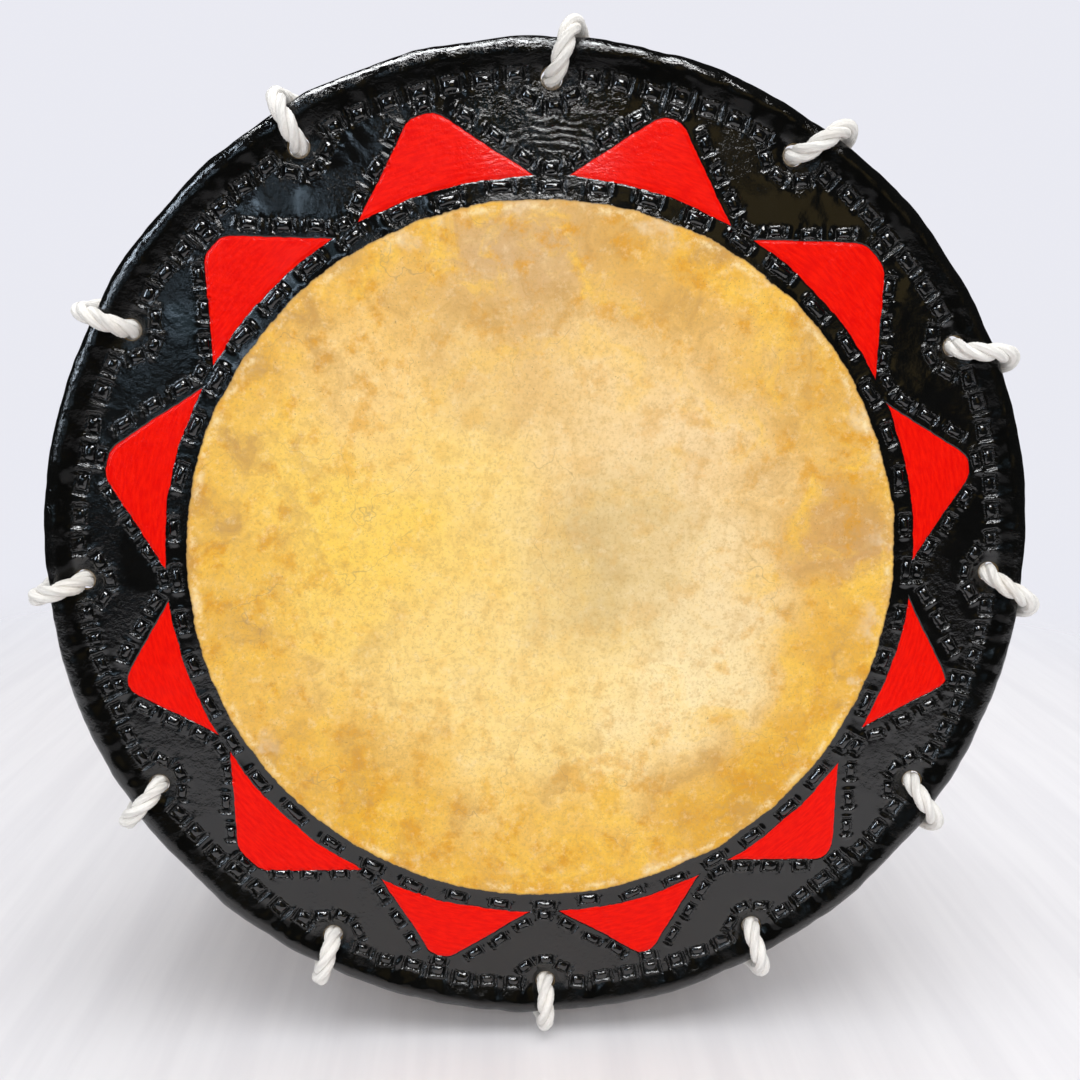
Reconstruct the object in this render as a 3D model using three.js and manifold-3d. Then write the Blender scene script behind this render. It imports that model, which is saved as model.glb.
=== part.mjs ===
// Rope-tensioned two-headed drum: a stave shell between two stitched hides, each lapped round
// an iron ring, with one long rope laced from ring to ring. It stands on its rim, on the rope.
//
// Millimetres, +Z up, the front head faces -Y. The drum is built round the Y axis with its middle
// at the origin, and is leant back and set down on the floor at the end.
import * as THREE from 'three';
import { mergeVertices } from 'three/addons/utils/BufferGeometryUtils.js';
import Module from 'manifold-3d';

// ---- Driving dimensions ----
const HEAD_RADIUS = 250; // outside of the hide over the iron ring
const HEAD_SPAN = 224; // from the front of one flange to the front of the other
const HIDE = 1.5; // thickness of one layer of hide
const LAP_GAP = 0.6; // between the two layers of the flange
const FOLD_RADIUS = 6.5; // outside of the rounded fold that holds the ring
const ROD_RADIUS = 4.25; // iron ring
const FIT = 0.3; // clearance between touching pieces
const FLAP_INNER_RADIUS = 183.5; // where the folded-back layer ends
const SKIN = { radius: 181, foot: 182.5, rise: 0.5 }; // the shell holds it proud of the flange
const HOLES = 12; // rope holes in each head
const ROPE_RADIUS = 4.75;
const ROPE_SLACK = 0.75; // between the rope and the fold that it wraps
const ROPE_HOLE_CLEARANCE = 0.55;

const SHELL_RADIUS = 179; // outside of the staves
const STAVE_THICKNESS = 14;
const STAVES = 20;
const HOOP = { width: 14, thickness: 5 };
const HOOP_PLACES = { front_hoop: -76, middle_hoop: 0, rear_hoop: 76 };

const LACE_THICKNESS = 1.6;
const INNER_LACE = { radius: 186.2, width: 4.4 };
const ZIGZAG_LACE = { width: 4, footRadius: 192.4, peakRadius: 226.2 };
const ZIGZAG_ANGLES = { foot: 2.1, peak: 13.4 }; // degrees from the nearest hole
const RIM_LACE = { radius: 232.2, width: 5, dipRadius: 219.2, shoulderRadius: 223.6 };
const RIM_ANGLES = { dip: 1.1, shoulder: 2.6, back: 3.9 }; // degrees from the hole

const WRAP_LEAN = 1.2; // degrees that a wrap travels round the drum while it crosses the ring
const WRAP_SWEEP = Math.PI * 1.03; // round the ring, until it leaves for the far hole
const KNOT = { radius: 15, length: 34, setBack: 8 }; // setBack is from behind the flange
const KNOT_HOLE = 2; // the hole of the front head that the rope starts and ends behind

const ROUND_SEGMENTS = 36; // a multiple of HOLES
const ROPE_SIDES = 8;

// ---- Derived places ----
const STEP = 360 / HOLES;
const HALF_SPAN = HEAD_SPAN / 2;
const FLANGE = 2 * HIDE + LAP_GAP;
const RING_RADIUS = HEAD_RADIUS - FOLD_RADIUS; // centre line of the iron ring
const RING_Y = HALF_SPAN - FLANGE / 2; // the ring's distance from the middle of the drum
const WRAP_RADIUS = FOLD_RADIUS + ROPE_SLACK + ROPE_RADIUS; // rope centre round the ring
const HOLE_RADIUS_PLACE = RING_RADIUS - WRAP_RADIUS;

const wasm = await Module();
wasm.setup();

const COLOURS = {
  hide: [0x16171a, 0.28, 0],
  lace: [0x101113, 0.3, 0],
  rope: [0xe9e6df, 0.85, 0],
  iron: [0x4b4a49, 0.6, 1],
  wood: [0xb98a55, 0.6, 0],
  bamboo: [0xc9a25c, 0.55, 0],
};

function material(kind) {
  const [color, roughness, metalness] = COLOURS[kind];
  return new THREE.MeshStandardMaterial({ color, roughness, metalness });
}

function piece(name, geometry, kind) {
  const mesh = new THREE.Mesh(geometry, material(kind));
  mesh.name = name;
  return mesh;
}

// ---- Solids ----
function toSolid(geometry) {
  const bare = geometry.index ? geometry.clone() : geometry;
  bare.deleteAttribute('normal');
  bare.deleteAttribute('uv');
  const merged = mergeVertices(bare, 1e-4);
  return new wasm.Manifold(new wasm.Mesh({
    numProp: 3,
    vertProperties: new Float32Array(merged.attributes.position.array),
    triVerts: new Uint32Array(merged.index.array),
  }));
}

function toGeometry(solid) {
  const mesh = solid.getMesh();
  const geometry = new THREE.BufferGeometry();
  geometry.setAttribute('position', new THREE.BufferAttribute(mesh.vertProperties, 3));
  geometry.setIndex(new THREE.BufferAttribute(mesh.triVerts, 1));
  geometry.computeVertexNormals();
  return geometry;
}

const radians = THREE.MathUtils.degToRad;

// A point of the front view: angle anticlockwise from +X, as seen looking along +Y.
function around(angle, radius, y) {
  return new THREE.Vector3(radius * Math.cos(radians(angle)), y, radius * Math.sin(radians(angle)));
}

function arc(centre, radius, from, to, steps) {
  return Array.from({ length: steps + 1 }, (_, i) => {
    const angle = from + (to - from) * i / steps;
    return new THREE.Vector2(
      centre.x + radius * Math.cos(angle),
      centre.y + radius * Math.sin(angle),
    );
  });
}

// A ring of rectangular section round the Y axis.
function bandRing(inner, outer, low, high) {
  const profile = [[inner, low], [outer, low], [outer, high], [inner, high], [inner, low]];
  return new THREE.LatheGeometry(profile.map(([x, y]) => new THREE.Vector2(x, y)), ROUND_SEGMENTS);
}

// A flat plate of an outline drawn in the front view, from y = near back to y = near + depth.
function facePlate(outer, inner, near, depth) {
  const shape = new THREE.Shape(outer);
  shape.holes.push(new THREE.Path(inner));
  const geometry = new THREE.ExtrudeGeometry(shape, { depth, bevelEnabled: false });
  geometry.rotateX(Math.PI / 2);
  geometry.translate(0, near + depth, 0);
  return geometry;
}

// ---- Head: hide, ring and laces, all as on the front ----
function hideProfile() {
  const front = -HALF_SPAN;
  const centre = new THREE.Vector2(RING_RADIUS, -RING_Y);
  const outsideMouth = Math.asin(FLANGE / 2 / FOLD_RADIUS);
  const insideRadius = FOLD_RADIUS - HIDE;
  const insideMouth = Math.asin(LAP_GAP / 2 / insideRadius);
  return [
    new THREE.Vector2(0, front - SKIN.rise),
    new THREE.Vector2(SKIN.radius, front - SKIN.rise),
    new THREE.Vector2(SKIN.foot, front),
    ...arc(centre, FOLD_RADIUS, outsideMouth - Math.PI, Math.PI - outsideMouth, 8),
    new THREE.Vector2(FLAP_INNER_RADIUS, front + FLANGE),
    new THREE.Vector2(FLAP_INNER_RADIUS, front + HIDE + LAP_GAP),
    ...arc(centre, insideRadius, Math.PI - insideMouth, insideMouth - Math.PI, 8),
    new THREE.Vector2(SKIN.foot, front + HIDE),
    new THREE.Vector2(SKIN.radius, front + HIDE - SKIN.rise),
    new THREE.Vector2(0, front + HIDE - SKIN.rise),
  ];
}

function ropeHole(angle) {
  const bore = new THREE.CylinderGeometry(
    ROPE_RADIUS + ROPE_HOLE_CLEARANCE,
    ROPE_RADIUS + ROPE_HOLE_CLEARANCE,
    3 * FLANGE,
    10,
  );
  const place = around(angle, HOLE_RADIUS_PLACE, -RING_Y);
  return toSolid(bore.translate(place.x, place.y, place.z));
}

function hideGeometry() {
  let solid = toSolid(new THREE.LatheGeometry(hideProfile(), ROUND_SEGMENTS));
  for (let i = 0; i < HOLES; i += 1) {
    solid = solid.subtract(ropeHole(90 + STEP * i));
  }
  return toGeometry(solid);
}

function ringGeometry() {
  const ring = new THREE.TorusGeometry(RING_RADIUS, ROD_RADIUS, 8, ROUND_SEGMENTS);
  return ring.rotateX(Math.PI / 2).translate(0, -RING_Y, 0);
}

// The outline of a lace that repeats at every hole, half its width outside or inside its line.
// Each stop is [degrees from the hole, radius]; the mirrored half follows by itself.
function laceOutline(stops, offset) {
  const outline = [];
  for (let i = 0; i < HOLES; i += 1) {
    const hole = 90 + STEP * i;
    const before = stops.map(([angle, radius]) => [hole - angle, radius]).reverse();
    const after = stops.map(([angle, radius]) => [hole + angle, radius]);
    for (const [angle, radius] of [...before, ...after]) {
      const turn = radians(angle);
      const reach = radius + offset;
      outline.push(new THREE.Vector2(reach * Math.cos(turn), reach * Math.sin(turn)));
    }
  }
  return outline;
}

function laceGeometry(stops, width) {
  const outer = laceOutline(stops, width / 2);
  const inner = laceOutline(stops, -width / 2);
  return facePlate(outer, inner, -HALF_SPAN - FIT - LACE_THICKNESS, LACE_THICKNESS);
}

function rimLaceGeometry() {
  const { radius, width, dipRadius, shoulderRadius } = RIM_LACE;
  const stops = [
    [RIM_ANGLES.dip, dipRadius],
    [RIM_ANGLES.shoulder, shoulderRadius],
    [RIM_ANGLES.back, radius],
    [STEP / 2 - 4, radius],
  ];
  return laceGeometry(stops, width);
}

function zigzagLaceGeometry() {
  const { width, footRadius, peakRadius } = ZIGZAG_LACE;
  const stops = [[ZIGZAG_ANGLES.foot, footRadius], [ZIGZAG_ANGLES.peak, peakRadius]];
  return laceGeometry(stops, width);
}

function innerLaceGeometry() {
  const { radius, width } = INNER_LACE;
  const back = -HALF_SPAN - FIT;
  return bandRing(radius - width / 2, radius + width / 2, back - LACE_THICKNESS, back);
}

function makeHead(side) {
  const head = new THREE.Group();
  head.add(
    piece(`${side}_hide`, hideGeometry(), 'hide'),
    piece(`${side}_ring`, ringGeometry(), 'iron'),
    piece(`${side}_rim_lace`, rimLaceGeometry(), 'lace'),
    piece(`${side}_zigzag_lace`, zigzagLaceGeometry(), 'lace'),
    piece(`${side}_inner_lace`, innerLaceGeometry(), 'lace'),
  );
  return head;
}

// ---- Shell ----
function staveGeometry() {
  const half = Math.PI / STAVES - FIT / 2 / SHELL_RADIUS;
  const inner = SHELL_RADIUS - STAVE_THICKNESS;
  const centre = new THREE.Vector2();
  const outline = [
    ...arc(centre, SHELL_RADIUS, -half, half, 2),
    ...arc(centre, inner, half, -half, 2),
  ];
  const depth = HEAD_SPAN + 2 * (SKIN.rise - HIDE - FIT);
  const stave = new THREE.ExtrudeGeometry(new THREE.Shape(outline), { depth, bevelEnabled: false });
  return stave.rotateX(Math.PI / 2).translate(0, depth / 2, 0);
}

function makeShell() {
  const shell = new THREE.Group();
  const geometry = staveGeometry();
  for (let i = 0; i < STAVES; i += 1) {
    const stave = piece(`stave_${String(i + 1).padStart(2, '0')}`, geometry, 'wood');
    stave.rotation.y = radians(360 / STAVES * i);
    shell.add(stave);
  }
  const inside = (SHELL_RADIUS + FIT) / Math.cos(Math.PI / ROUND_SEGMENTS); // flats clear the staves
  for (const [name, y] of Object.entries(HOOP_PLACES)) {
    const low = y - HOOP.width / 2;
    const hoop = bandRing(inside, inside + HOOP.thickness, low, low + HOOP.width);
    shell.add(piece(name, hoop, 'bamboo'));
  }
  return shell;
}

// ---- Rope ----
// A path through chosen stations, one section at each station, so that the long straight
// strands cost one step and the wraps round the rings get the rest.
class StationPath extends THREE.Curve {
  constructor(stations) {
    super();
    this.stations = stations;
  }

  getPoint(t) {
    const last = this.stations.length - 1;
    const at = Math.min(Math.round(t * last), last);
    return this.stations[at].clone();
  }

  getPointAt(u) {
    return this.getPoint(u);
  }

  getTangentAt(u) {
    const last = this.stations.length - 1;
    const at = Math.round(u * last);
    const here = this.stations[at];
    const into = at > 0 ? here.clone().sub(this.stations[at - 1]).normalize() : null;
    const out = at < last ? this.stations[at + 1].clone().sub(here).normalize() : null;
    if (into && out) return into.add(out).normalize();
    return into ?? out;
  }
}

// One wrap: in through the hole from behind the flange, over the ring, and off its outer side.
// side is -1 for the front head and 1 for the rear head. The rope works its way clockwise.
function wrapStations(hole, side) {
  const behindFlange = around(hole, HOLE_RADIUS_PLACE, side * (RING_Y - FLANGE / 2 - FOLD_RADIUS));
  const outOfHole = around(hole, HOLE_RADIUS_PLACE, side * (HALF_SPAN + FIT));
  const stations = [behindFlange, outOfHole];
  const turns = 6;
  for (let i = 1; i <= turns; i += 1) {
    const turn = WRAP_SWEEP * i / turns;
    const radius = RING_RADIUS - WRAP_RADIUS * Math.cos(turn);
    const y = side * (RING_Y + WRAP_RADIUS * Math.sin(turn));
    stations.push(around(hole - WRAP_LEAN * i / turns, radius, y));
  }
  return stations;
}

function ropeStations() {
  const first = 90 + STEP * KNOT_HOLE;
  const stations = [];
  for (let i = 0; i < 2 * HOLES; i += 1) {
    const side = i % 2 === 0 ? -1 : 1;
    stations.push(...wrapStations(first - STEP / 2 * i, side));
  }
  // The last strand heads for the first hole. Both ends of the rope stop on that line, with the
  // knot between them.
  const back = stations[0];
  const strand = stations[stations.length - 1].clone().sub(back).normalize();
  const start = back.clone().addScaledVector(strand, KNOT.setBack);
  const end = start.clone().addScaledVector(strand, KNOT.length + 2 * FIT);
  return [start, ...stations, end];
}

function ropeSection() {
  const points = Array.from({ length: ROPE_SIDES }, (_, i) => {
    const turn = 2 * Math.PI * (i + 0.5) / ROPE_SIDES;
    return new THREE.Vector2(ROPE_RADIUS * Math.cos(turn), ROPE_RADIUS * Math.sin(turn));
  });
  return new THREE.Shape(points);
}

function knotGeometry(from, to) {
  const barrel = [[0, 0], [0.7, 0], [1, 0.12], [1, 0.88], [0.7, 1], [0, 1]];
  const profile = barrel.map(([r, t]) => new THREE.Vector2(r * KNOT.radius, (t - 0.5) * KNOT.length));
  const knot = new THREE.LatheGeometry(profile, 12);
  const along = to.clone().sub(from).normalize();
  const turn = new THREE.Quaternion().setFromUnitVectors(new THREE.Vector3(0, 1, 0), along);
  const middle = from.clone().lerp(to, 0.5);
  return knot.applyQuaternion(turn).translate(middle.x, middle.y, middle.z);
}

function makeRope() {
  const stations = ropeStations();
  const rope = new THREE.ExtrudeGeometry(ropeSection(), {
    steps: stations.length - 1,
    extrudePath: new StationPath(stations),
    bevelEnabled: false,
  });
  const group = new THREE.Group();
  const knot = knotGeometry(stations[0], stations[stations.length - 1]);
  group.add(piece('lacing_rope', rope, 'rope'), piece('rope_knot', knot, 'rope'));
  return group;
}

// ---- Assembly ----
function makeDrum() {
  const front = makeHead('front');
  const rear = makeHead('rear');
  rear.rotation.set(0, 0, Math.PI);
  const rearTurned = new THREE.Group();
  rearTurned.rotation.y = radians(STEP / 2);
  rearTurned.add(rear);

  const drum = new THREE.Group();
  drum.add(front, rearTurned, makeShell(), makeRope());
  return drum;
}

// The front rests on one wrap at its lowest point, the rear on the two wraps either side of its
// own lowest point, which are a little higher, so the drum leans back.
function leanAngle() {
  const reach = RING_RADIUS + WRAP_RADIUS + ROPE_RADIUS;
  const drop = reach * (1 - Math.cos(radians(STEP / 2)));
  return Math.atan(drop / (2 * RING_Y));
}

const assembly = new THREE.Group();
const drum = makeDrum();
drum.rotation.x = -leanAngle();
assembly.add(drum);
assembly.updateMatrixWorld(true);
const box = new THREE.Box3().setFromObject(assembly, true);
const middle = box.getCenter(new THREE.Vector3());
drum.position.set(-middle.x, -middle.y, -box.min.z);
assembly.updateMatrixWorld(true);

export default assembly;
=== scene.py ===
import math

import bpy
import numpy as np
from mathutils import Matrix, Vector


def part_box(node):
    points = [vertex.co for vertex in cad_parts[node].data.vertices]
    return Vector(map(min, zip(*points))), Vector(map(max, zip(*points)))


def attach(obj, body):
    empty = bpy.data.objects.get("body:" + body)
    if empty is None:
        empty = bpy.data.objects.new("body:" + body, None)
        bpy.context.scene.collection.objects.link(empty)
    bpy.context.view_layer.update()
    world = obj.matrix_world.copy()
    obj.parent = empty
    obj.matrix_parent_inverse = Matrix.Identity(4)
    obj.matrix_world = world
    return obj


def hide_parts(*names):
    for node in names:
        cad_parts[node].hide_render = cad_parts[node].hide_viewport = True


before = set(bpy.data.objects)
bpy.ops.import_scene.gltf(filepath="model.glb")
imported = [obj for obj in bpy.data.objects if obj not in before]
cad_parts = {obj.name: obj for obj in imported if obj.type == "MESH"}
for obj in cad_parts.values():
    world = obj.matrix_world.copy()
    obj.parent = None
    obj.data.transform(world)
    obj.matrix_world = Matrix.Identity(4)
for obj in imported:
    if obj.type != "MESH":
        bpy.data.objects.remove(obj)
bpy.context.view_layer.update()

# ---- Where the drum is: its axis, lean and middle, from the two hides ----
MM = 0.001


def box_middle(node):
    low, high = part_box(node)
    return (Vector(low) + Vector(high)) / 2


front_middle, rear_middle = box_middle("front_hide"), box_middle("rear_hide")
CENTRE = (front_middle + rear_middle) / 2
RING_Y = (rear_middle - front_middle).length / 2
LEAN = math.asin((front_middle - rear_middle).z / (2 * RING_Y))
HEAD_RADIUS = (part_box("front_hide")[1][0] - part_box("front_hide")[0][0]) / 2

# ---- Driving sizes, in metres ----
HIDE = 1.5 * MM
LAP_GAP = 0.6 * MM
FLANGE = 2 * HIDE + LAP_GAP
FOLD_RADIUS = 6.5 * MM
RING_RADIUS = HEAD_RADIUS - FOLD_RADIUS
IRON_RADIUS = 4.25 * MM
HALF_SPAN = RING_Y + FLANGE / 2
FLAP_INNER = 183.5 * MM
SKIN_RISE = 0.5 * MM
HOLES = 12
STEP = 2 * math.pi / HOLES
TOP = math.pi / 2

ROPE_RADIUS = 4.75 * MM
ROPE_SLACK = 0.75 * MM
WRAP_RADIUS = FOLD_RADIUS + ROPE_SLACK + ROPE_RADIUS
HOLE_PLACE = RING_RADIUS - WRAP_RADIUS
HOLE_RADIUS = ROPE_RADIUS + 0.25 * MM
WRAP_LEAN = math.radians(1.3)
LEAN_CHANGE = math.radians(3.5)
WRAP_SWEEP = math.pi * 1.03
ROPE_PITCH = 31 * MM
KNOT_HOLE = 2  # the number of the hole beside it, anticlockwise from the top
KNOT_AWAY = 25 * MM  # from that hole to the knot's middle

SHELL_RADIUS = 179 * MM
STAVE_THICKNESS = 14 * MM
STAVES = 20

SKIN_EDGE = 0.72 * HEAD_RADIUS  # where the natural skin meets the lacquer
TRIANGLE_BASE = 0.762 * HEAD_RADIUS
TRIANGLE_TOP = 0.889 * HEAD_RADIUS
HOLE_SLIPS = (0, 0.5, 0, 1.7, 0, 1, 0.7, 0, -0.3, -0.4, -0.8, 0)  # degrees, by hand and eye
TRIANGLE_HALF_ANGLES = (13, 13, 13, 12, 13.5, 12.5, 12, 12, 11, 12.5, 13.5, 12.5)  # degrees
RIDGE_FOOT = 232.3 * MM  # where the hide starts to climb over the ring
RIDGE_SLOPE = math.radians(25)

RING_POINTS = 1440  # points round each ring of a hide's flange
RING_STEP = 0.55 * MM
FOLD_RINGS = 26
CAMERA_ROLL = math.radians(0.69)


# ---- Shape helpers: arrays of points are (n, 3) in metres ----
def polar(angle, radius, y=0.0):
    """A point of the front view: angle anticlockwise from +X, as seen looking along +Y."""
    return np.array([radius * math.cos(angle), y, radius * math.sin(angle)])


def out_of_round(points):
    """Pushes the flange and ring out at the top and in at the sides, as a hand-bent ring is, and
    slips the holes and what is sewn between them a little round the head."""
    radius = np.hypot(points[:, 0], points[:, 2])
    angle = np.arctan2(points[:, 2], points[:, 0])
    outer = smooth_step(radius, 182 * MM, 232 * MM)
    push = 0.0065 * (1 + np.sin(angle)) - 0.0045 * (1 + np.cos(2 * angle))
    steps = ((angle - TOP) / STEP) % HOLES
    before = np.floor(steps).astype(int) % HOLES
    slips = np.radians(np.array(HOLE_SLIPS))
    share = smooth_step(steps - np.floor(steps), 0, 1)
    slip = slips[before] * (1 - share) + slips[(before + 1) % HOLES] * share
    turned = angle + slip * smooth_step(radius, 150 * MM, 185 * MM)
    reach = radius * (1 + push * outer)
    return np.stack([reach * np.cos(turned), points[:, 1], reach * np.sin(turned)], axis=1)


def head_turned(points, side):
    """Points drawn as on the front head, moved to the front (-1) or the rear (1) head."""
    if side < 0:
        return points
    x, y, z = -points[:, 0], -points[:, 1], points[:, 2]
    c, s = math.cos(STEP / 2), math.sin(STEP / 2)
    return np.stack([x * c + z * s, y, z * c - x * s], axis=1)


def head_to_drum(points, side):
    """Points drawn as on a perfectly round front head, moved to where they are on the drum."""
    return head_turned(out_of_round(points), side)


def to_world(points):
    c, s = math.cos(LEAN), math.sin(LEAN)
    x, y, z = points[:, 0], points[:, 1], points[:, 2]
    return np.stack([x, y * c + z * s, z * c - y * s], axis=1) + np.array(CENTRE)


def ripple(points, wavelength, seed, waves=14):
    """Smooth random bumps of about one wavelength, between -1 and 1, the same for each seed."""
    random = np.random.default_rng(seed)
    total = np.zeros(len(points))
    for _ in range(waves):
        direction = random.normal(size=points.shape[1])
        direction /= np.linalg.norm(direction)
        size = wavelength * random.uniform(0.7, 1.5)
        total += np.cos(points @ direction * (2 * math.pi / size) + random.uniform(0, 2 * math.pi))
    return total / math.sqrt(waves) / 1.6


def gauss(value, width):
    return np.exp(-((value / width) ** 2))


def smooth_step(value, low, high):
    t = np.clip((value - low) / (high - low), 0, 1)
    return t * t * (3 - 2 * t)


def store_values(mesh, values):
    for key, value in values.items():
        kind = "FLOAT_VECTOR" if value.ndim == 2 else "FLOAT"
        layer = mesh.attributes.new(key, kind, "POINT")
        field = "vector" if value.ndim == 2 else "value"
        layer.data.foreach_set(field, value.astype(np.float32).ravel())


def make_object(name, points, faces, material, values=None, smooth=True):
    """A mesh object from world points and lists of faces, with named values on its points."""
    mesh = bpy.data.meshes.new(name)
    mesh.from_pydata(points.tolist(), [], faces)
    store_values(mesh, values or {})
    mesh.polygons.foreach_set("use_smooth", [smooth] * len(mesh.polygons))
    mesh.materials.append(material)
    mesh.update()
    piece = bpy.data.objects.new(name, mesh)
    bpy.context.scene.collection.objects.link(piece)
    return piece


def place(piece, slot, *nodes):
    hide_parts(*nodes)
    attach(piece, "root")


def circle(count):
    """Even angles all the way round."""
    return np.arange(count) * 2 * math.pi / count


class Solid:
    """Collects the points, faces and point values of one piece."""

    def __init__(self):
        self.points, self.faces, self.values, self.count = [], [], {}, 0

    def add(self, points, faces, **values):
        self.faces += [[i + self.count for i in face] for face in faces]
        self.points.append(points)
        for key, value in values.items():
            self.values.setdefault(key, []).append(value)
        self.count += len(points)

    def build(self, name, material):
        values = {key: np.concatenate(parts) for key, parts in self.values.items()}
        return make_object(name, np.concatenate(self.points), self.faces, material, values)


def grid_faces(rows, columns, wrap_rows=False, wrap_columns=False):
    """Quads over a grid whose points are numbered row by row."""
    faces = []
    for i in range(rows if wrap_rows else rows - 1):
        below, above = i * columns, (i + 1) % rows * columns
        for j in range(columns if wrap_columns else columns - 1):
            k = (j + 1) % columns
            faces.append([below + j, below + k, above + k, above + j])
    return faces


def tube_faces(rows, columns):
    """Quads round a row of rings, and a face over each end."""
    last = (rows - 1) * columns
    faces = grid_faces(rows, columns, wrap_columns=True)
    return faces + [list(range(columns))[::-1], [last + i for i in range(columns)]]


# ---- Materials ----
class Nodes:
    """Short calls for building a node tree. A value can be a number, a tuple or a socket."""

    def __init__(self, name):
        self.material = bpy.data.materials.new(name)
        self.material.use_nodes = True
        self.tree = self.material.node_tree
        self.shader = self.tree.nodes["Principled BSDF"]

    def put(self, socket, value):
        if isinstance(value, bpy.types.NodeSocket):
            self.tree.links.new(value, socket)
        elif value is not None:
            socket.default_value = value

    def node(self, kind, inputs=(), **settings):
        node = self.tree.nodes.new(kind)
        for key, value in settings.items():
            setattr(node, key, value)
        for key, value in dict(inputs).items():
            self.put(node.inputs[key], value)
        return node

    def value(self, name):
        return self.node("ShaderNodeAttribute", attribute_name=name).outputs["Fac"]

    def vector(self, name):
        return self.node("ShaderNodeAttribute", attribute_name=name).outputs["Vector"]

    def math(self, operation, *values):
        inputs = dict(enumerate(values))
        return self.node("ShaderNodeMath", inputs, operation=operation).outputs[0]

    def plus(self, first, second):
        return self.math("ADD", first, second)

    def minus(self, first, second):
        return self.math("SUBTRACT", first, second)

    def times(self, first, second):
        return self.math("MULTIPLY", first, second)

    def most(self, first, second):
        return self.math("MAXIMUM", first, second)

    def vmath(self, operation, *values, out="Vector"):
        inputs = dict(enumerate(values))
        return self.node("ShaderNodeVectorMath", inputs, operation=operation).outputs[out]

    def distance(self, first, second):
        return self.vmath("DISTANCE", first, second, out="Value")

    def split(self, vector):
        return self.node("ShaderNodeSeparateXYZ", {0: vector}).outputs

    def join(self, x, y, z):
        return self.node("ShaderNodeCombineXYZ", {0: x, 1: y, 2: z}).outputs[0]

    def noise(self, vector, size, detail=2.0, roughness=0.5, distortion=0.0):
        inputs = {
            "Vector": vector, "Scale": 1 / size, "Detail": detail,
            "Roughness": roughness, "Distortion": distortion,
        }
        return self.node("ShaderNodeTexNoise", inputs).outputs["Fac"]

    def ramp(self, value, low, high, start=0.0, end=1.0, smooth=True):
        kind = "SMOOTHSTEP" if smooth else "LINEAR"
        inputs = {0: value, 1: low, 2: high, 3: start, 4: end}
        return self.node("ShaderNodeMapRange", inputs, interpolation_type=kind).outputs[0]

    def mix(self, factor, first, second, blend="MIX"):
        node = self.node("ShaderNodeMix", data_type="RGBA", blend_type=blend)
        self.put(node.inputs[0], factor)
        self.put(node.inputs[6], first)
        self.put(node.inputs[7], second)
        return node.outputs[2]

    def bump(self, height, distance, strength=1.0, normal=None):
        inputs = {"Height": height, "Distance": distance, "Strength": strength, "Normal": normal}
        return self.node("ShaderNodeBump", inputs).outputs[0]

    def finish(self, **inputs):
        for key, value in inputs.items():
            self.put(self.shader.inputs[key.replace("_", " ")], value)
        return self.material


def rgb(red, green, blue):
    return (red, green, blue, 1.0)


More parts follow.
